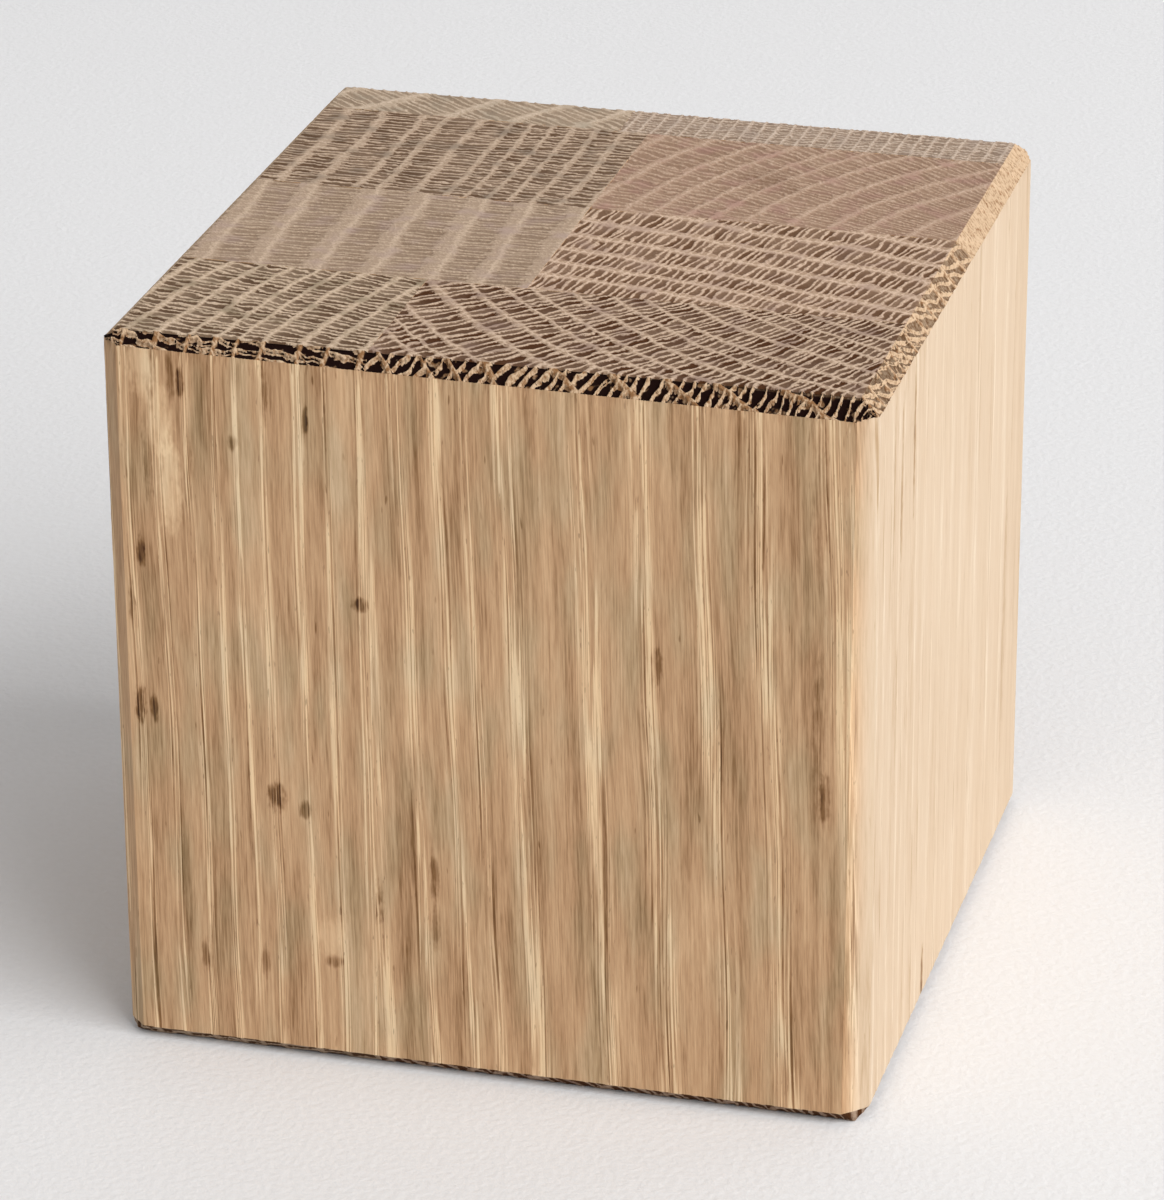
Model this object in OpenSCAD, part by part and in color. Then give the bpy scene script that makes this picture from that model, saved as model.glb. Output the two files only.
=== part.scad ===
// Solid oak cube, glued up from upright staves.
//
// Four rows of planed board stand one behind another. Each row is a left and
// a right stave, edge-glued, with the grain upright, so the top and the
// bottom show end grain. The glued block was trimmed square and its twelve
// edges were then chamfered, so a chamfer runs across every stave it meets.
// The four edges around the base were only eased.
//
// The origin is the middle of the base. +X is right, +Y is back, +Z is up and
// along the grain.

/* [Cube] */
// Width of the cube, left to right
cube_w = 80; // [60:1:140]
// Height of the cube, along the grain
cube_h = 80; // [20:1:200]
// Chamfer on the upright edges and around the top, square to the faces
chamfer = 2; // [0.5:0.1:4]
// Smaller chamfer that eases the edges around the base
base_chamfer = 1.4; // [0.5:0.1:4]

/* [Rows, front to back] */
// Thickness left on the front row after the front was trimmed
front_t = 22.2; // [12:0.1:30]
// Planed thickness of the board in the second row
second_t = 24.5; // [12:0.1:30]
// Planed thickness of the board in the third row
third_t = 24.5; // [12:0.1:30]
// Thickness left on the back row after the back was trimmed
back_t = 8.8; // [6:0.1:30]

/* [Left staves] */
// Width of the left stave in the front row
front_left_w = 28; // [15:0.1:50]
// Width of the left stave in the second row
second_left_w = 38.6; // [15:0.1:50]
// Width of the left stave in the third row
third_left_w = 38.6; // [15:0.1:50]
// Width of the left stave in the back row
back_left_w = 35.2; // [15:0.1:50]

/* [Hidden] */
// The rows add up to the depth of the cube.
cube_d = front_t + second_t + third_t + back_t;

// Distance from the front of the cube to the front of each row
second_y = front_t;
third_y = second_y + second_t;
back_y = third_y + third_t;

// A rectangle with its corners cut off at 45 degrees. Its bottom edge lies on
// the X axis, and the two corners there are cut off by low_cut.
module cut_outline(across, up, low_cut) {
    x = across / 2;
    polygon([
        [x - low_cut, 0], [x, low_cut],
        [x, up - chamfer], [x - chamfer, up],
        [chamfer - x, up], [-x, up - chamfer],
        [-x, low_cut], [low_cut - x, 0]
    ]);
}

// The trimmed and chamfered block. Each outline cuts the four edges that run
// along its own extrusion: upright, side to side, and front to back.
module chamfered_block() {
    intersection() {
        translate([0, -cube_d / 2, 0])
            linear_extrude(cube_h)
                cut_outline(cube_w, cube_d, chamfer);
        translate([-cube_w / 2, 0, 0])
            rotate([90, 0, 90])
                linear_extrude(cube_w)
                    cut_outline(cube_d, cube_h, base_chamfer);
        translate([0, cube_d / 2, 0])
            rotate([90, 0, 0])
                linear_extrude(cube_d)
                    cut_outline(cube_w, cube_h, base_chamfer);
    }
}

// The share of the block that one stave takes up. from_left and from_front
// are measured from the left and front faces of the cube.
module stave(from_left, width, from_front, thickness) {
    intersection() {
        chamfered_block();
        translate([from_left - cube_w / 2, from_front - cube_d / 2, 0])
            cube([width, thickness, cube_h]);
    }
}

module left_stave(width, from_front, thickness) {
    stave(0, width, from_front, thickness);
}

// The right stave runs from the joint to the right face.
module right_stave(joint, from_front, thickness) {
    stave(joint, cube_w - joint, from_front, thickness);
}

module front_left_stave() {
    color("#a98a6c") left_stave(front_left_w, 0, front_t);
}

module front_right_stave() {
    color("#b08e70") right_stave(front_left_w, 0, front_t);
}

module second_left_stave() {
    color("#b79a7c") left_stave(second_left_w, second_y, second_t);
}

module second_right_stave() {
    color("#a88a70") right_stave(second_left_w, second_y, second_t);
}

module third_left_stave() {
    color("#a5896c") left_stave(third_left_w, third_y, third_t);
}

module third_right_stave() {
    color("#b08c76") right_stave(third_left_w, third_y, third_t);
}

module back_left_stave() {
    color("#b39a7c") left_stave(back_left_w, back_y, back_t);
}

module back_right_stave() {
    color("#ab927a") right_stave(back_left_w, back_y, back_t);
}

front_left_stave();
front_right_stave();
second_left_stave();
second_right_stave();
third_left_stave();
third_right_stave();
back_left_stave();
back_right_stave();
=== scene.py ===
import math

import bmesh
import bpy
import numpy as np
from mathutils import Matrix, Vector


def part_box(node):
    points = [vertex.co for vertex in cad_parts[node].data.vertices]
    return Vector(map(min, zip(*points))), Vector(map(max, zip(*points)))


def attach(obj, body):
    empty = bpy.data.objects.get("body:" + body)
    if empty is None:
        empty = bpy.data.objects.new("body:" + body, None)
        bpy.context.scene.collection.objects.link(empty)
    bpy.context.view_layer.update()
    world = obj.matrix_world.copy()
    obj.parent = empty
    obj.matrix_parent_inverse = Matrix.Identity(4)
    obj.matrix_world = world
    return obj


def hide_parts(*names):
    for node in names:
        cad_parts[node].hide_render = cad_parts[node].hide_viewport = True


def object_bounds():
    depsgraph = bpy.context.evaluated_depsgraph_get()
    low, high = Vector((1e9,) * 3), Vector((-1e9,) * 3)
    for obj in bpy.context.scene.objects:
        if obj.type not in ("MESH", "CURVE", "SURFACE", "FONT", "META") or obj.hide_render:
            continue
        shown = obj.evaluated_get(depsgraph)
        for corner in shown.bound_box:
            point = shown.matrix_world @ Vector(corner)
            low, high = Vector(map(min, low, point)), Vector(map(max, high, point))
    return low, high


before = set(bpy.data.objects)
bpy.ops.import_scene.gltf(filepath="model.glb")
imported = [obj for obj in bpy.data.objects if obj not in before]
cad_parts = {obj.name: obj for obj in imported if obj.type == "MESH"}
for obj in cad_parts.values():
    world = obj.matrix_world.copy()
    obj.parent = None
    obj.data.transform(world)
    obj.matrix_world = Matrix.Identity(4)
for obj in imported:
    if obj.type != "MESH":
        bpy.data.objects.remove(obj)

# ---------------------------------------------------------------------------
# Front left stave.
# An upright length of planed oak, with end grain at the top and base. It is
# glued to the stave at its right and to the row behind, and the block was
# trimmed square and chamfered once the glue had set.
# ---------------------------------------------------------------------------

block_low, block_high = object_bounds()
MM = 0.001
block = (block_high - block_low) / MM  # width, depth and height, in mm

# Chamfers, in mm along the faces. The plain solids have even ones and the real
# ones widen and narrow. Of each edge's two widths, the first is at its left,
# front or base end and the second at its other end.
LEFT, RIGHT, FRONT, BACK, BASE, TOP = range(6)
top_chamfer = 2.0
base_chamfer = 1.4
chamfers = {
    (FRONT, TOP): (1.35, 1.95),
    (RIGHT, TOP): (1.9, 1.8),
    (BACK, TOP): (1.7, 1.8),
    (LEFT, TOP): (1.4, 1.7),
    (LEFT, FRONT): (1.9, 1.9),
    (RIGHT, FRONT): (2.4, 1.9),
    (RIGHT, BACK): (1.8, 1.8),
    (LEFT, BACK): (1.8, 1.8),
    (FRONT, BASE): (1.3, 1.3),
    (RIGHT, BASE): (1.3, 1.3),
    (BACK, BASE): (1.3, 1.3),
    (LEFT, BASE): (1.3, 1.3),
}
END_GRAIN, ARRIS, LONG_GRAIN = range(3)


def sawn_lines(low, high, low_cut, high_cut, cut_spacing, spacing):
    """Places of the grid's lines between two faces, with a line at each chamfer's edge."""
    too_short = 1e-6
    stops = [low, low + low_cut, high - high_cut, high]
    spacings = [cut_spacing, spacing, cut_spacing]
    lines = []
    for start, end, apart in zip(stops, stops[1:], spacings):
        if end - start > too_short:
            parts = max(1, round((end - start) / apart))
            lines += list(np.linspace(start, end, parts, endpoint=False))
    return lines + [high]


def split_edges(shell, wanted):
    """Halves each edge whose two ends pass the test."""
    picked = [edge for edge in shell.edges if wanted(edge.verts[0].co, edge.verts[1].co)]
    bmesh.ops.subdivide_edges(shell, edges=picked, cuts=1, use_grid_fill=True)


def face_distances(places):
    """Distance of each place from the block's six faces, in the order of LEFT to TOP."""
    columns = []
    for axis in range(3):
        columns += [places[:, axis], block[axis] - places[:, axis]]
    return np.stack(columns, axis=1)


def cut_chamfers(places):
    """Moves the places that lie outside the chamfers onto them."""
    ease = 4.0  # how far in from a chamfer the grid is stretched to meet it
    on_face = 1e-6
    passes = 12
    before = face_distances(places)
    away = before.copy()
    moved = np.zeros_like(before, bool)
    widths = {}
    for pair, (first, last) in chamfers.items():
        along = next(axis for axis in range(3) if axis not in (pair[0] // 2, pair[1] // 2))
        widths[pair] = first + (last - first) * places[:, along] / block[along]
        drawn = base_chamfer if BASE in pair else top_chamfer
        for near, on in (pair, pair[::-1]):
            pick = (before[:, on] < on_face) & (before[:, near] < drawn + ease) & ~moved[:, near]
            moved[:, near] |= pick
            inside = before[:, near] * widths[pair] / drawn
            outside = widths[pair] + (before[:, near] - drawn) * (ease + drawn - widths[pair]) / ease
            eased = np.where(before[:, near] < drawn, inside, outside)
            away[:, near] = np.where(pick, eased, away[:, near])
    shifted = places.copy()
    for face in range(6):
        axis = face // 2
        place = away[:, face] if face % 2 == 0 else block[axis] - away[:, face]
        shifted[:, axis] = np.where(moved[:, face], place, shifted[:, axis])
    inward = np.array([1, -1, 1, -1, 1, -1])
    for _ in range(passes):
        for pair, width in widths.items():
            away = face_distances(shifted)
            excess = np.clip(width - away[:, pair[0]] - away[:, pair[1]], 0, None) / 2
            for face in pair:
                shifted[:, face // 2] += excess * inward[face]
    return shifted


def stave_shell(name, low, high):
    """A closed mesh of one stave in mm, fine enough on its outside for the grain to stand in it."""
    grid = 0.4
    tall_grid = 1.25
    flush = 1e-3  # nearer than this is on the block's outside
    level = 1e-5  # nearer than this is at the same height or place
    one_point = 6e-6  # nearer than this is the same point
    sharp = math.radians(32)
    outside = []
    for axis in range(2):
        outside += [low[axis] < flush, block[axis] - high[axis] < flush]
    outside += [True, True]
    cuts = [top_chamfer * shows for shows in outside[:4]] + [base_chamfer, top_chamfer]
    lines = []
    for axis in range(3):
        spacing = tall_grid if axis == 2 else grid
        lines.append(
            sawn_lines(low[axis], high[axis], cuts[2 * axis], cuts[2 * axis + 1], grid, spacing)
        )
    shell = bmesh.new()
    outward = shell.verts.layers.float_vector.new("outward")
    end_cut = shell.verts.layers.float.new("end_cut")
    arris_cut = shell.verts.layers.float.new("arris_cut")
    corners = {}

    def corner(index):
        if index not in corners:
            corners[index] = shell.verts.new([lines[axis][index[axis]] for axis in range(3)])
        return corners[index]

    for face in range(6):
        if not outside[face]:
            continue
        axis = face // 2
        across = (axis + 1) % 3
        upward = (axis + 2) % 3
        for p in range(len(lines[across]) - 1):
            for q in range(len(lines[upward]) - 1):
                quad = []
                for u, v in ((p, q), (p + 1, q), (p + 1, q + 1), (p, q + 1)):
                    index = [0, 0, 0]
                    index[axis] = 0 if face % 2 == 0 else len(lines[axis]) - 1
                    index[across] = u
                    index[upward] = v
                    quad.append(corner(tuple(index)))
                shell.faces.new(quad[::-1] if face % 2 == 0 else quad)

    shoulder = block[2] - top_chamfer - 1e-4
    split_edges(shell, lambda a, b: min(a.z, b.z) > shoulder)
    split_edges(
        shell,
        lambda a, b: abs(a.z - b.z) < level and base_chamfer - 1e-4 < a.z < shoulder,
    )

    def along_arris(a, b):
        """Whether an edge runs along one of the top chamfers."""
        if min(a.z, b.z) < shoulder:
            return False
        for side in range(4):
            across = side // 2
            face_at = low[across] if side % 2 == 0 else high[across]
            near = max(abs(a[across] - face_at), abs(b[across] - face_at)) < top_chamfer + 1e-4
            if outside[side] and near and abs(a[1 - across] - b[1 - across]) > level:
                return abs(a[across] - b[across]) < level and abs(a.z - b.z) < level
        return False

    split_edges(shell, along_arris)

    for found in shell.faces:
        middle = found.calc_center_median()
        side_gaps = [middle.x, block[0] - middle.x, middle.y, block[1] - middle.y]
        nearest = min(gap for gap, shows in zip(side_gaps, outside) if shows)
        if middle.z > shoulder:
            found.material_index = ARRIS if nearest < top_chamfer else END_GRAIN
        elif middle.z < base_chamfer:
            found.material_index = END_GRAIN
        else:
            found.material_index = LONG_GRAIN

    open_rims = []
    for face in range(4):
        if outside[face]:
            continue
        axis = face // 2
        across = (axis + 1) % 3
        upward = (axis + 2) % 3
        face_at = low[axis] if face % 2 == 0 else high[axis]
        middle = [(low[n] + high[n]) / 2 for n in range(3)]
        rim = [v for v in shell.verts if v.is_boundary and abs(v.co[axis] - face_at) < level]
        rim.sort(
            key=lambda v: math.atan2(v.co[upward] - middle[upward], v.co[across] - middle[across])
        )
        open_rims.append(rim[::-1] if face % 2 == 0 else rim)

    shell.verts.ensure_lookup_table()
    places = np.array([v.co for v in shell.verts], float)
    for vertex, place in zip(shell.verts, cut_chamfers(places)):
        vertex.co = place
    # Where three chamfers meet, some corners of the grid land on one point.
    bmesh.ops.dissolve_degenerate(shell, edges=shell.edges, dist=one_point)

    shell.normal_update()
    for vertex in shell.verts:
        kinds = [found.material_index for found in vertex.link_faces]
        direction = Vector((0, 0, 0))
        for found in vertex.link_faces:
            direction += found.normal
        vertex[outward] = direction.normalized()
        vertex[end_cut] = sum(kind != LONG_GRAIN for kind in kinds) / len(kinds)
        vertex[arris_cut] = sum(kind == ARRIS for kind in kinds) / len(kinds)

    for found in shell.faces:
        found.smooth = True
    for rim in open_rims:
        glued_face = shell.faces.new(rim)
        glued_face.material_index = LONG_GRAIN
        glued_face.smooth = False
    mesh = bpy.data.meshes.new(name)
    shell.to_mesh(mesh)
    shell.free()
    mesh.transform(Matrix.Translation(block_low) @ Matrix.Scale(MM, 4))
    mesh.set_sharp_from_angle(angle=sharp)
    return mesh


class Reading:
    """Something that varies over the wood. Arithmetic on it adds Math nodes."""

    def __init__(self, tree, socket=None):
        self.tree = tree
        self.socket = socket

    def node(self, kind, settings=None, inputs=None, output=0):
        """Adds a node, with its own settings first and then its sockets, and reads one output."""
        added = self.tree.nodes.new(kind)
        for name, value in (settings or {}).items():
            if name == "stops":
                ramp = added.color_ramp
                while len(ramp.elements) < len(value):
                    ramp.elements.new(0.5)
                for element, (position, colour) in zip(ramp.elements, value):
                    element.position = position
                    element.color = colour
            elif name == "bends":
                curve = added.mapping.curves[0]
                while len(curve.points) < len(value):
                    curve.points.new(0.5, 0.5)
                for point, place in zip(curve.points, value):
                    point.location = place
                    point.handle_type = "VECTOR"
                added.mapping.update()
            else:
                setattr(added, name, value)
        for name, value in (inputs or {}).items():
            if isinstance(value, Reading):
                self.tree.links.new(value.socket, added.inputs[name])
            else:
                added.inputs[name].default_value = value
        return Reading(self.tree, added.outputs[output] if added.outputs else None)

    def maths(self, operation, *values):
        """Adds a Math node."""
        return self.node("ShaderNodeMath", {"operation": operation}, dict(enumerate(values)))

    def __add__(self, other):
        return self.maths("ADD", self, other)

    __radd__ = __add__

    def __sub__(self, other):
        return self.maths("SUBTRACT", self, other)

    def __rsub__(self, other):
        return self.maths("SUBTRACT", other, self)

    def __mul__(self, other):
        return self.maths("MULTIPLY", self, other)

    __rmul__ = __mul__

    def __truediv__(self, other):
        return self.maths("DIVIDE", self, other)

    def __pow__(self, other):
        return self.maths("POWER", self, other)

    def __abs__(self):
        return self.maths("ABSOLUTE", self)

    def floor(self):
        return self.maths("FLOOR", self)

    def smaller(self, other):
        return self.maths("MINIMUM", self, other)

    def larger(self, other):
        return self.maths("MAXIMUM", self, other)

    def rise(self, start, end):
        """0 below start and 1 above end, with a smooth rise between."""
        return self.node(
            "ShaderNodeMapRange",
            {"interpolation_type": "SMOOTHSTEP"},
            {0: self, 1: start, 2: end, 3: 0.0, 4: 1.0},
        )

    def blend(self, pale, dark):
        """One colour where this reading is 0 and the other where it is 1."""
        return self.node("ShaderNodeMix", {"data_type": "RGBA"}, {0: self, 6: pale, 7: dark}, 2)


def noise(x, y, z, detail=1.0, roughness=0.5):
    """Soft noise around 0, about a unit across, that mostly stays within 0.3."""
    place = x.node("ShaderNodeCombineXYZ", None, {0: x, 1: y, 2: z})
    inputs = {"Vector": place, "Scale": 1.0, "Detail": detail, "Roughness": roughness}
    return x.node("ShaderNodeTexNoise", None, inputs) - 0.5


def split_place(vector):
    """The three parts of a place or colour."""
    return [vector.node("ShaderNodeSeparateXYZ", None, {0: vector}, part) for part in range(3)]


def cells(row):
    """Uneven cells in a row, about a unit wide: the distance to a cell's wall, and its own numbers."""
    inputs = {"W": row, "Scale": 1.0, "Randomness": 0.75}
    in_line = {"voronoi_dimensions": "1D"}
    wall = row.node("ShaderNodeTexVoronoi", {**in_line, "feature": "DISTANCE_TO_EDGE"}, inputs)
    own = row.node("ShaderNodeTexVoronoi", in_line, inputs, 1)
    return wall, split_place(own)


def place_in_block(position):
    """Millimetres from the left, the front and the base of the block."""
    from_corner = position.node(
        "ShaderNodeVectorMath", {"operation": "SUBTRACT"}, {0: position, 1: tuple(block_low)}
    )
    in_mm = position.node(
        "ShaderNodeVectorMath", {"operation": "SCALE"}, {0: from_corner, "Scale": 1 / MM}
    )
    return split_place(in_mm)


def growth(stave, x, y, z):
    """The yearly rings: years counted outwards from the pith, and mm along the ring."""
    low, high = stave["box"]
    pith_x, pith_y = stave["pith"]
    lean_x, lean_y = stave.get("lean", (0, 0))
    toward = Vector(((low[0] + high[0]) / 2 - pith_x, (low[1] + high[1]) / 2 - pith_y))
    mean_radius = toward.length
    toward.normalize()
    down = block[2] - z
    seed = stave["seed"]
    across = x - (down * lean_x + pith_x)
    back = y - (down * lean_y + pith_y)
    outward = across * toward.x + back * toward.y
    sideways = back * toward.x - across * toward.y
    # The rings aren't true circles, and they keep their place along the grain.
    slow = noise(x * 0.09 + seed, y * 0.09, z * 0.022, 0.0)
    quick = noise(x * 0.4, y * 0.4 + seed, z * 0.03)
    radius = (outward * outward + sideways * sideways) ** 0.5
    radius = radius + slow * stave["waviness"] + quick * stave.get("wobble", 0.7)
    along = sideways.maths("ARCTAN2", sideways, outward) * mean_radius
    # A curve turns the radius into years, because some rings are wider than others.
    first = stave["first_ring"]
    edges = [first]
    for width in stave["rings"]:
        edges.append(edges[-1] + width)
    total = edges[-1] - first
    count = len(stave["rings"])
    bends = [((edge - first) / total, n / count) for n, edge in enumerate(edges)]
    share_across = (radius - first) / total
    years = share_across.node("ShaderNodeFloatCurve", {"bends": bends}, {1: share_across}) * count
    return years, along


def burn_at(stave, x, y):
    """Where the cutter burnt the top chamfers: all of the front one, and part of the right one."""
    front = 1.0 - y.rise(1.9, 2.3)
    right = x.rise(block[0] - 2.3, block[0] - 1.9) * stave.get("right_burn", 0.0)
    return front.larger(right)


def end_grain(stave, x, y, years, along, torn):
    """Sawn end grain: how dark the cells are, where their pale walls are, and where a ring begins.

    torn is 1 on the top chamfers, where the cells are torn open and their walls are thin.
    """
    seed = stave["seed"]
    ragged = noise(x * 2.2, y * 2.2 + seed, 0.0, 2.0, 0.6)
    years = years + ragged * 0.12
    ring = years.floor()
    share = years - ring  # 0 where a ring begins and 1 where it ends
    # The cells lie in a row along each ring, and no two rings' cells line up.
    sway = noise(along * 0.85 + seed, share * 1.8, ring * 5.3)
    shift = sway * 1.2 + ragged * 0.2
    row = (along + shift) / stave["cell_width"] + ring * 7.37
    wall, (own_start, own_end, own_depth) = cells(row)
    slack = 1.0 - torn * 0.42
    core = ((wall + ragged * 0.24) / slack).rise(0.1, 0.28)
    # Each cell starts a little after the ring's pale line and ends a little before the next.
    line = stave["line_width"]
    begin = ((share - (own_start * 0.12 + line) * slack + ragged * 0.2) / 0.08).rise(0.0, 1.0)
    finish = ((1.0 - (own_end * 0.12 + 0.01) * slack - share + ragged * 0.1) / 0.08).rise(0.0, 1.0)
    # Some cells, and some patches of them, are darker than others.
    patch = noise(x * 0.2 + seed, y * 0.2, 0.0)
    depth = own_depth * 0.35 + 0.78 + patch * 0.6 - share * 0.2
    dark = core * begin * finish * (depth + torn * 0.6)
    to_line = 0.5 - abs(share - 0.5)
    edge_line = 1.0 - (to_line + ragged * 0.12).rise(0.0, 0.09)
    return dark.larger(0.0).smaller(1.0), 1.0 - core, edge_line


def long_grain(stave, x, y, z, years):
    """Long grain: its tone from dark to pale, its pale ring lines, and how open its pores are."""
    seed = stave["seed"]
    lean = stave.get("lean", (0, 0))[0]
    # The grain leans with the rings and wanders a little on its way down.
    across = x - (block[2] - z) * lean + noise(x * 0.15 + seed, y * 0.15, z * 0.04, 0.0) * 0.8
    share = years - years.floor()
    to_line = 0.5 - abs(share - 0.5)
    hair = noise(across * 2.8 + seed, y * 2.8, z * 0.022)
    breaks = noise(across * 1.1, y * 1.1 + seed, z * 0.07, 2.0, 0.6)
    cloud = noise(across * 0.42, y * 0.42 + seed, z * 0.033, 2.0, 0.6)
    fine = noise(across * 4.4 + seed, y * 4.4, z * 0.24, 2.0, 0.68)
    # Pale streaks and dark pores gather where a ring begins.
    near_ring = 1.0 - (to_line + breaks * 0.35).rise(0.08, 0.24)
    lit = (breaks * 4.0 + 0.75).smaller(1.0).larger(0.0)
    streak = (1.0 - abs(hair).rise(0.0, 0.09)) * (near_ring * 0.85 + 0.15) * lit
    shade = (0.0 - hair).rise(0.08, 0.2) * (near_ring * 0.8 + 0.2)
    grit = noise(x * 4.5, y * 4.5, z * 0.8 + seed)
    pores = grit.rise(0.16, 0.26) * (near_ring * 0.8 + 0.2)
    # Flecks are short brown dashes.
    fleck = noise(across * 1.7, y * 1.7, z * 0.33 + seed * 3.0).rise(0.22, 0.3)
    pale = streak * 0.62 + near_ring * 0.03 + cloud * 0.62 + fine * 0.5 + stave["side_tone"] + 0.43
    tone = pale - shade * 0.22 - fleck * 0.16
    return tone, streak, pores


def paint(red, green, blue):
    """A colour as a painter mixes it, 0 to 255, for linear light."""
    shares = [part / 255 for part in (red, green, blue)]
    linear = [((s + 0.055) / 1.055) ** 2.4 if s > 0.04 else s / 12.92 for s in shares]
    return (*linear, 1.0)


def carve_relief(piece, stave):
    """Sinks the dark cells and pores into the mesh and leaves the walls and rings standing."""
    tree = bpy.data.node_groups.new(piece.name + "_relief", "GeometryNodeTree")
    tree.interface.new_socket("Geometry", in_out="INPUT", socket_type="NodeSocketGeometry")
    tree.interface.new_socket("Geometry", in_out="OUTPUT", socket_type="NodeSocketGeometry")
    start = Reading(tree)

    def kept(name, kind="FLOAT"):
        return start.node("GeometryNodeInputNamedAttribute", {"data_type": kind}, {0: name})

    whole = start.node("NodeGroupInput")
    x, y, z = place_in_block(start.node("GeometryNodeInputPosition"))
    end_cut = kept("end_cut")
    arris_cut = kept("arris_cut")
    years, along = growth(stave, x, y, z)
    dark = end_grain(stave, x, y, years, along, arris_cut)[0]
    streak, pores = long_grain(stave, x, y, z, years)[1:]
    cell_depth = 0.1
    torn_depth = 0.25  # more than a cell's, where the chamfer is burnt
    streak_rise = 0.05
    pore_depth = 0.05
    end_depth = dark * (arris_cut * burn_at(stave, x, y) * torn_depth + cell_depth)
    side_depth = (1.0 - streak) * streak_rise + pores * pore_depth
    depth = end_cut * end_depth + (1.0 - end_cut) * side_depth
    offset = start.node(
        "ShaderNodeVectorMath",
        {"operation": "SCALE"},
        {0: kept("outward", "FLOAT_VECTOR"), "Scale": depth * -MM},
    )
    carved = start.node("GeometryNodeSetPosition", None, {"Geometry": whole, "Offset": offset})
    start.node("NodeGroupOutput", None, {0: carved})
    modifier = piece.modifiers.new("relief", "NODES")
    modifier.node_group = tree
    depsgraph = bpy.context.evaluated_depsgraph_get()
    carved_mesh = bpy.data.meshes.new_from_object(piece.evaluated_get(depsgraph))
    piece.modifiers.clear()
    piece.data = carved_mesh


def new_material(name):
    """A material with no nodes yet, and the place in the block that its surface reads."""
    material = bpy.data.materials.new(name)
    material.use_nodes = True
    material.node_tree.nodes.clear()
    start = Reading(material.node_tree)
    return material, place_in_block(start.node("ShaderNodeTexCoord", None, None, 3))


def finish_material(colour, roughness, height, strength):
    """Joins a colour, a roughness and a height in mm to the material's surface."""
    bump = colour.node(
        "ShaderNodeBump", None, {"Height": height, "Distance": MM, "Strength": strength}
    )
    surface = colour.node(
        "ShaderNodeBsdfPrincipled",
        None,
        {"Base Color": colour, "Roughness": roughness, "Normal": bump, "Specular IOR Level": 0.15},
    )
    colour.node("ShaderNodeOutputMaterial", None, {"Surface": surface})


def sawn_oak(stave):
    """End grain as the saw left it, with brown cells between pale walls and ring lines, and painted
    shade at the base.
    """
    material, (x, y, z) = new_material(stave["node"] + "_end_grain")
    seed = stave["seed"]
    years, along = growth(stave, x, y, z)
    dark, wall, line = end_grain(stave, x, y, years, along, 0.0)
    fuzz = noise(x * 3.0 + y * 3.0, x * 1.5 - y * 1.5, z * 2.0 + seed, 2.0, 0.65)
    tint = noise(x * 0.3 + seed, y * 0.3, z * 0.1)
    pale, middle, deep = stave["end_colours"]
    contrast = stave["cell_contrast"]
    ridges = wall * 0.55 * contrast + line * stave["line_strength"]
    body = (ridges + fuzz * 2.2 + 0.12).rise(0.0, 1.0).blend(middle, pale)
    body = (tint * 3.0 + 0.1).rise(0.0, 1.0).blend(body, stave["end_tint"])
    for at_x, at_y, wide, deep_share in stave.get("stains", ()):
        far = ((x - at_x) / wide) ** 2 + ((y - at_y) / wide) ** 2
        body = ((1.0 - (far + fuzz * 2.0).rise(0.0, 1.2)) * deep_share).blend(body, deep)
    # Painted shade: the end grain darkens towards the deep colour near the base, where the block meets
    # the floor and lies in shadow.
    shaded_foot = 1.0 - z.rise(1.0, 2.0)
    colour = (dark * contrast + shaded_foot * 0.5).smaller(1.0).blend(body, deep)
    finish_material(colour, dark * 0.2 + 0.75, fuzz * 0.16, 0.7)
    return material


def torn_oak(stave):
    """The top chamfers: nearly black in front, where the cutter burnt and tore the grain."""
    material, (x, y, z) = new_material(stave["node"] + "_arris")
    seed = stave["seed"]
    years, along = growth(stave, x, y, z)
    dark, wall = end_grain(stave, x, y, years, along, 1.0)[:2]
    burn = burn_at(stave, x, y)
    fuzz = noise(x * 2.4 + y * 2.4, x * 1.1 - y * 1.1, z * 2.0 + seed, 2.0, 0.65)
    tufts = noise(x * 1.1, y * 1.1 + seed, z * 1.1).rise(0.1, 0.2)
    dark = (dark * 2.2).smaller(1.0) * burn * (1.0 - tufts * 0.7)
    clean = (wall * 0.35 + fuzz * 2.6 + 0.75 - burn * 0.5).rise(0.0, 1.0)
    colour = clean.blend(paint(140, 100, 64), paint(208, 179, 147))
    colour = dark.blend(colour, paint(22, 3, 0))
    finish_material(colour, dark * 0.2 + 0.75, fuzz * 0.16, 0.7)
    return material


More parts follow.
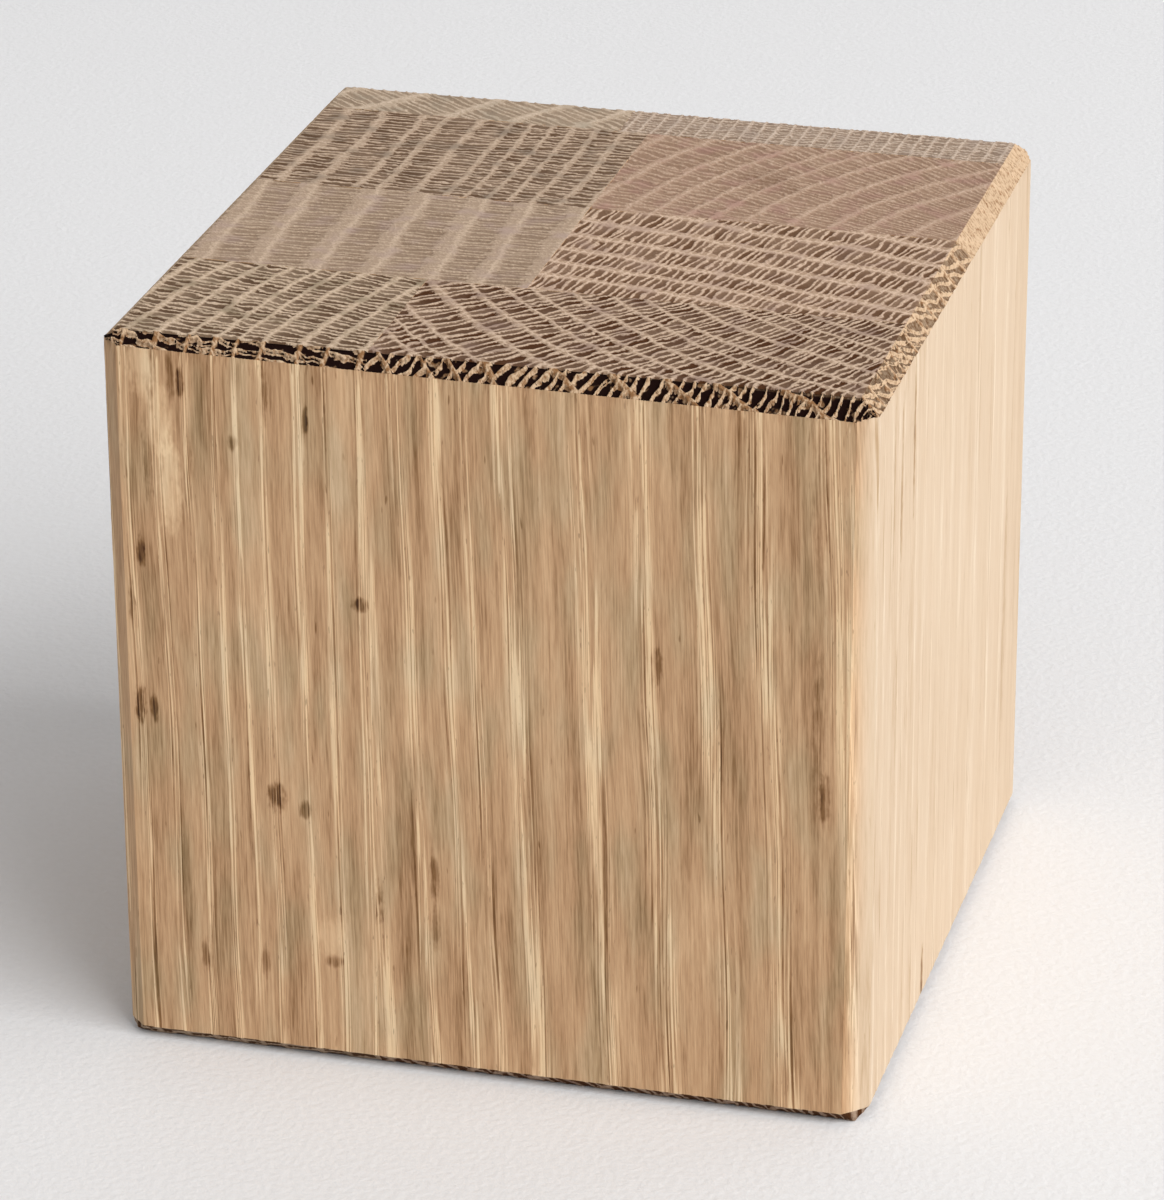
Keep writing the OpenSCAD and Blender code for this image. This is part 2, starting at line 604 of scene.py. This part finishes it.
def planed_oak(stave):
    """Trimmed long grain, with rings as pale lines, open pores and brown flecks, and painted light that
    pales the right side.
    """
    material, (x, y, z) = new_material(stave["node"] + "_long_grain")
    seed = stave["seed"]
    years, along = growth(stave, x, y, z)
    tone, streak, pores = long_grain(stave, x, y, z, years)
    warp = noise(x * 1.6 + seed, y * 1.6, z * 0.6, 2.0, 0.6)
    for at_x, at_y, at_z, wide, tall, strength in stave.get("marks", ()):
        sideways = ((x - at_x) / wide) ** 2 + ((y - at_y) / wide) ** 2
        far = sideways + ((z - at_z) / tall) ** 2
        tone = tone - (1.0 - (far + warp * 2.4).rise(0.0, 1.3)) * strength
    brown = [
        (0.0, paint(70, 40, 20)),
        (0.18, paint(132, 95, 60)),
        (0.42, paint(190, 151, 114)),
        (0.62, paint(212, 175, 136)),
        (0.9, paint(236, 204, 162)),
    ]
    grey = [
        (0.0, paint(66, 48, 30)),
        (0.18, paint(126, 98, 64)),
        (0.42, paint(180, 150, 114)),
        (0.62, paint(206, 177, 142)),
        (0.9, paint(232, 206, 168)),
    ]
    oak = tone.node("ShaderNodeValToRGB", {"stops": brown}, {0: tone})
    dull = tone.node("ShaderNodeValToRGB", {"stops": grey}, {0: tone})
    hue = noise(x * 0.28 + seed, y * 0.28, z * 0.08)
    oak = (hue * 3.0 + 0.3).rise(0.0, 1.0).blend(oak, dull)
    # Painted light: the right side is painted a paler cream where the window light falls full on it,
    # though it is the same wood as the front.
    lit_cream = [
        (0.0, paint(116, 80, 48)),
        (0.2, paint(180, 148, 112)),
        (0.42, paint(208, 184, 156)),
        (0.75, paint(219, 199, 175)),
        (1.0, paint(226, 209, 185)),
    ]
    lit_right_colour = tone.node("ShaderNodeValToRGB", {"stops": lit_cream}, {0: tone * 0.7 + 0.16})
    lit_right_share = x.rise(block[0] - 2.4, block[0] - 0.2) * 0.95
    oak = lit_right_share.blend(oak, lit_right_colour)
    # The painted light on the right side also hides most of the pores.
    colour = (pores * 0.4 * (1.0 - lit_right_share * 0.7)).blend(oak, paint(98, 64, 38))
    finish_material(colour, 0.62 - streak * 0.06 + pores * 0.1, warp * 0.08, 0.6)
    return material


def make_stave(stave):
    """Builds one stave in place of its plain solid and fixes it in the block."""
    low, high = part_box(stave["node"])
    stave["box"] = ((low - block_low) / MM, (high - block_low) / MM)
    mesh = stave_shell(stave["node"] + "_oak", *stave["box"])
    piece = bpy.data.objects.new(stave["node"] + "_oak", mesh)
    bpy.context.scene.collection.objects.link(piece)
    for finish in (sawn_oak, torn_oak, planed_oak):
        mesh.materials.append(finish(stave))
    carve_relief(piece, stave)
    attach(piece, "root")
    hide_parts(stave["node"])


# Places and widths are in mm from the block's left, front and base corner.
# pith and lean: where the stave's pith lay at the top, and its shift for each mm down.
# first_ring and rings: the first ring's radius, and the width of each ring outwards.
# waviness and wobble: how far the rings stray, slowly and quickly.
# line_width and line_strength: each ring's pale line, as a share of the ring, and how pale.
# cell_width and cell_contrast: the dark cells between the lines.
# right_burn: how much of the right chamfer is burnt.
# end_colours: pale walls, plain wood and dark cells. end_tint: patches among them.
# stains: x, y, width and strength of a brown stain on the top.
# side_tone: paler or darker long grain.
# marks: x, y, z, width, height and strength of a brown mark, or a pale one below 0.
make_stave({
    "node": "front_left_stave",
    "slot": "oak_front_left",
    "seed": 1.3,
    "pith": (223, -29),
    "lean": (0.008, 0.0),
    "first_ring": 190.8,
    "rings": (3.6, 3.6, 3.5, 2.9, 3.8, 2.4, 2.1, 2.9, 3.2, 3.3, 3.0, 3.4, 3.4),
    "waviness": 1.0,
    "line_width": 0.05,
    "line_strength": 0.45,
    "cell_width": 0.92,
    "cell_contrast": 0.9,
    "end_colours": (
        paint(210, 186, 161),
        paint(178, 154, 129),
        paint(76, 49, 27),
    ),
    "end_tint": paint(150, 132, 108),
    "side_tone": 0.0,
    "marks": (
        (4.5, 0.0, 77.0, 1.5, 4.0, -0.25),
        (6.3, 0.0, 71.0, 1.5, 4.5, -0.25),
        (7.2, 0.0, 64.0, 1.4, 6.0, -0.25),
        (7.6, 0.0, 75.5, 0.5, 3.4, 0.2),
        (4.9, 0.0, 67.0, 0.6, 6.0, 0.2),
        (9.2, 0.0, 66.0, 0.5, 5.0, 0.14),
        (23.2, 0.0, 14.6, 2.0, 2.6, -0.15),
        (3.1, 0.0, 39.2, 0.7, 2.4, 0.36),
        (4.6, 0.0, 38.8, 0.5, 1.8, 0.25),
        (17.6, 0.0, 30.2, 1.1, 2.0, 0.36),
        (20.6, 0.0, 29.0, 0.8, 1.2, 0.3),
        (27.1, 0.0, 52.9, 1.1, 0.9, 0.36),
        (14.0, 0.0, 69.3, 0.6, 1.0, 0.3),
        (21.7, 0.0, 72.2, 0.4, 2.0, 0.3),
        (17.5, 0.0, 75.0, 0.4, 3.6, 0.2),
        (8.6, 0.0, 75.3, 0.5, 1.8, 0.3),
        (3.8, 0.0, 56.4, 0.5, 2.2, 0.3),
        (2.6, 0.0, 50.5, 0.4, 3.0, 0.25),
        (23.4, 0.0, 11.8, 1.1, 0.8, 0.25),
        (9.3, 0.0, 10.6, 0.7, 2.2, 0.2),
        (15.8, 0.0, 10.9, 0.6, 2.2, 0.2),
    ),
})

# ---------------------------------------------------------------------------
# Front right stave.
# The wider half of the front row, from wood that grew nearer the pith, so its
# rings curve. It is planed oak, glued to the front left stave and to both
# staves of the second row, and its two outer sides were trimmed with the block.
# ---------------------------------------------------------------------------

make_stave({
    "node": "front_right_stave",
    "slot": "oak_front_right",
    "seed": 4.1,
    "pith": (100.7, 70.2),
    "lean": (0.022, 0.02),
    "first_ring": 48.5,
    "rings": (
        3.0, 3.1, 3.2, 2.4, 2.2, 3.3, 3.4, 2.6, 2.9, 3.1, 2.5, 3.2, 3.6, 4.8, 2.4, 1.8, 3.0,
        3.2,
    ),
    "waviness": 1.0,
    "line_width": 0.03,
    "line_strength": 0.45,
    "cell_width": 0.98,
    "cell_contrast": 1.0,
    "right_burn": 0.6,
    "end_colours": (
        paint(208, 182, 158),
        paint(164, 136, 112),
        paint(74, 42, 18),
    ),
    "end_tint": paint(160, 134, 118),
    "side_tone": -0.02,
    "marks": (
        (34.4, 0.0, 23.0, 0.6, 3.0, 0.26),
        (27.6, 0.0, 19.2, 1.3, 2.8, 0.3),
        (75.4, 0.0, 37.0, 0.7, 3.2, 0.22),
        (58.0, 0.0, 49.6, 0.7, 2.4, 0.22),
        (80.0, 13.0, 66.0, 0.5, 11.0, 0.35),
        (80.0, 18.8, 69.0, 0.5, 9.0, 0.4),
        (80.0, 9.4, 66.0, 0.5, 10.0, 0.2),
        (80.0, 12.0, 42.0, 0.5, 14.0, 0.2),
        (74.6, 0.0, 70.0, 0.9, 9.0, 0.12),
        (74.8, 0.0, 44.0, 0.8, 9.0, 0.12),
        (34.4, 0.0, 17.0, 0.6, 2.6, 0.19),
    ),
})

# ---------------------------------------------------------------------------
# Second row, left and right staves.
# Two lengths of the same thickness of oak board. The left one has wide, faint
# rings that run front to back and the right one has rings that run across. They
# are glued to each other and to the rows in front and behind.
# ---------------------------------------------------------------------------

make_stave({
    "node": "second_left_stave",
    "slot": "oak_second_left",
    "seed": 7.7,
    "pith": (463, 54),
    "first_ring": 419.0,
    "rings": (5.8, 5.8, 5.2, 6.2, 5.9, 6.6, 5.6, 6.0, 6.0),
    "waviness": 1.2,
    "line_width": 0.22,
    "line_strength": 0.5,
    "cell_width": 0.9,
    "cell_contrast": 0.5,
    "end_colours": (
        paint(202, 178, 154),
        paint(170, 146, 124),
        paint(98, 74, 52),
    ),
    "end_tint": paint(176, 152, 138),
    "side_tone": 0.03,
})

make_stave({
    "node": "second_right_stave",
    "slot": "oak_second_right",
    "seed": 9.2,
    "pith": (-37, -366),
    "first_ring": 391.5,
    "rings": (4.4, 4.5, 3.6, 3.7, 4.3, 4.3, 4.6, 4.5, 4.5),
    "waviness": 2.0,
    "line_width": 0.12,
    "line_strength": 0.5,
    "cell_width": 0.9,
    "cell_contrast": 0.9,
    "right_burn": 0.5,
    "end_colours": (
        paint(216, 188, 164),
        paint(174, 144, 119),
        paint(88, 55, 29),
    ),
    "end_tint": paint(178, 150, 132),
    "side_tone": 0.02,
    "marks": (
        (80.0, 28.0, 3.0, 0.6, 5.5, 0.6),
        (80.0, 36.0, 50.0, 0.6, 8.0, 0.12),
    ),
})

# ---------------------------------------------------------------------------
# Third row, left and right staves.
# Two more lengths of that board. The left one has uneven rings that run front
# to back, and the right one is pinker, with a stain and rings that sweep round.
# They are glued like the second row.
# ---------------------------------------------------------------------------

make_stave({
    "node": "third_left_stave",
    "slot": "oak_third_left",
    "seed": 12.5,
    "pith": (-334, 67),
    "first_ring": 333.0,
    "rings": (5.6, 3.9, 4.6, 2.4, 4.1, 3.8, 2.2, 2.3, 2.2, 2.6, 3.1, 3.1, 3.0),
    "waviness": 1.0,
    "line_width": 0.06,
    "line_strength": 0.35,
    "cell_width": 0.9,
    "cell_contrast": 0.85,
    "end_colours": (
        paint(201, 177, 154),
        paint(170, 145, 122),
        paint(78, 50, 26),
    ),
    "end_tint": paint(148, 130, 112),
    "side_tone": -0.03,
})

make_stave({
    "node": "third_right_stave",
    "slot": "oak_third_right",
    "seed": 15.8,
    "pith": (117, 31),
    "first_ring": 38.0,
    "rings": (4.4, 4.5, 4.7, 3.4, 4.1, 4.6, 3.4, 2.6, 3.6, 3.4, 4.4, 4.6),
    "waviness": 1.0,
    "line_width": 0.04,
    "line_strength": 0.3,
    "cell_width": 0.85,
    "cell_contrast": 0.44,
    "right_burn": 0.05,
    "end_colours": (
        paint(206, 178, 156),
        paint(172, 142, 119),
        paint(104, 74, 52),
    ),
    "end_tint": paint(176, 140, 124),
    "stains": (
        (54.5, 60.5, 3.4, 0.28),
        (58.0, 57.5, 1.6, 0.2),
        (44.5, 63.0, 2.0, 0.12),
    ),
    "side_tone": 0.03,
    "marks": (
        (80.0, 69.5, 24.0, 0.8, 24.0, 0.2),
        (80.0, 59.0, 60.0, 1.2, 14.0, 0.12),
    ),
})

# ---------------------------------------------------------------------------
# Back row, left and right staves.
# A thin row of two lengths of planed oak, glued to the third row and trimmed
# with the block at the back. The left one is greenish, with wide slanting
# rings, and the right one grew slowly, with narrow even rings.
# ---------------------------------------------------------------------------

make_stave({
    "node": "back_left_stave",
    "slot": "oak_back_left",
    "seed": 18.4,
    "pith": (-79, 148.5),
    "first_ring": 96.0,
    "rings": (6.0, 6.4, 5.4, 7.5, 6.2, 6.0, 6.2, 6.0),
    "waviness": 1.5,
    "line_width": 0.04,
    "line_strength": 0.4,
    "cell_width": 0.9,
    "cell_contrast": 0.5,
    "end_colours": (
        paint(210, 189, 167),
        paint(182, 160, 137),
        paint(98, 76, 54),
    ),
    "end_tint": paint(176, 160, 140),
    "side_tone": 0.02,
})

make_stave({
    "node": "back_right_stave",
    "slot": "oak_back_right",
    "seed": 21.6,
    "pith": (-300, 90),
    "first_ring": 333.0,
    "rings": (1.6,) * 30,
    "waviness": 0.6,
    "wobble": 0.3,
    "line_width": 0.04,
    "line_strength": 0.4,
    "cell_width": 0.8,
    "cell_contrast": 0.55,
    "right_burn": 0.05,
    "end_colours": (
        paint(214, 194, 176),
        paint(178, 155, 135),
        paint(98, 75, 56),
    ),
    "end_tint": paint(180, 160, 144),
    "side_tone": -0.02,
})

# ---------------------------------------------------------------------------
# Floor, light and camera.
# The block stands on a roll of pale paper that curves up behind it. A large
# soft light at its right is the window, a weak one fills the front, and the
# room gives the rest.
# ---------------------------------------------------------------------------

sweep = bmesh.new()
half_width = 2.0
front_edge = -1.2
bend_start = 0.9
bend_radius = 0.5
bend_steps = 12
top_edge = 2.2
profile = [(front_edge, 0.0), (bend_start, 0.0)]
for step in range(1, bend_steps + 1):
    turn = math.radians(90 * step / bend_steps)
    back = bend_start + bend_radius * math.sin(turn)
    profile.append((back, bend_radius * (1 - math.cos(turn))))
profile.append((bend_start + bend_radius, top_edge))
left_side = [sweep.verts.new((-half_width, y, z)) for y, z in profile]
right_side = [sweep.verts.new((half_width, y, z)) for y, z in profile]
for n in range(len(profile) - 1):
    strip = sweep.faces.new((left_side[n], right_side[n], right_side[n + 1], left_side[n + 1]))
    strip.smooth = True
sweep_mesh = bpy.data.meshes.new("paper_sweep")
sweep.to_mesh(sweep_mesh)
sweep.free()
floor = bpy.data.objects.new("paper_sweep", sweep_mesh)
bpy.context.scene.collection.objects.link(floor)
paper, (x, y, z) = new_material("pale_paper")
tooth = noise(x * 1.1, y * 1.1, z * 1.1, 2.0)
paper_colour = (tooth + 0.5).blend(paint(226, 225, 225), paint(231, 231, 232))
finish_material(paper_colour, tooth * 0.1 + 0.85, tooth * 0.3, 0.35)
sweep_mesh.materials.append(paper)


def soft_light(name, azimuth, elevation, distance, width, height, power):
    """A white rectangle of light that faces the block. Azimuth 0 is in front, 90 at the right."""
    lamp = bpy.data.lights.new(name, "AREA")
    lamp.shape = "RECTANGLE"
    lamp.size = width
    lamp.size_y = height
    lamp.energy = power
    holder = bpy.data.objects.new(name, lamp)
    bpy.context.scene.collection.objects.link(holder)
    turn = math.radians(azimuth)
    rise = math.radians(elevation)
    toward = Vector((math.sin(turn) * math.cos(rise), -math.cos(turn) * math.cos(rise), math.sin(rise)))
    holder.location = (block_low + block_high) / 2 + toward * distance
    holder.rotation_euler = toward.to_track_quat("Z", "Y").to_euler()


soft_light("window_light", 67, 38, 3.0, 2.9, 2.2, 98)
soft_light("front_fill", 12, 50, 3.0, 2.5, 2.0, 7)
world = bpy.data.worlds.new("studio")
world.use_nodes = True
room = world.node_tree.nodes["Background"]
room.inputs["Color"].default_value = (1.0, 1.0, 1.0, 1.0)
room.inputs["Strength"].default_value = 0.37
bpy.context.scene.world = world
bpy.context.scene.view_settings.view_transform = "Standard"

aim = Vector((-0.0004, -0.0010, 0.0380))
camera_distance = 0.6023
camera_turn = math.radians(15.38)
camera_rise = math.radians(24.11)
camera_roll = math.radians(-0.34)
camera_data = bpy.data.cameras.new("camera")
camera_data.sensor_width = 36
camera_data.lens = 167.8
camera_data.clip_start = 0.05
camera = bpy.data.objects.new("camera", camera_data)
bpy.context.scene.collection.objects.link(camera)
toward_camera = Vector((
    math.sin(camera_turn) * math.cos(camera_rise),
    -math.cos(camera_turn) * math.cos(camera_rise),
    math.sin(camera_rise),
))
camera.location = aim + toward_camera * camera_distance
level = toward_camera.to_track_quat("Z", "Y").to_matrix()
camera.rotation_euler = (level @ Matrix.Rotation(camera_roll, 3, "Z")).to_euler()
bpy.context.scene.camera = camera
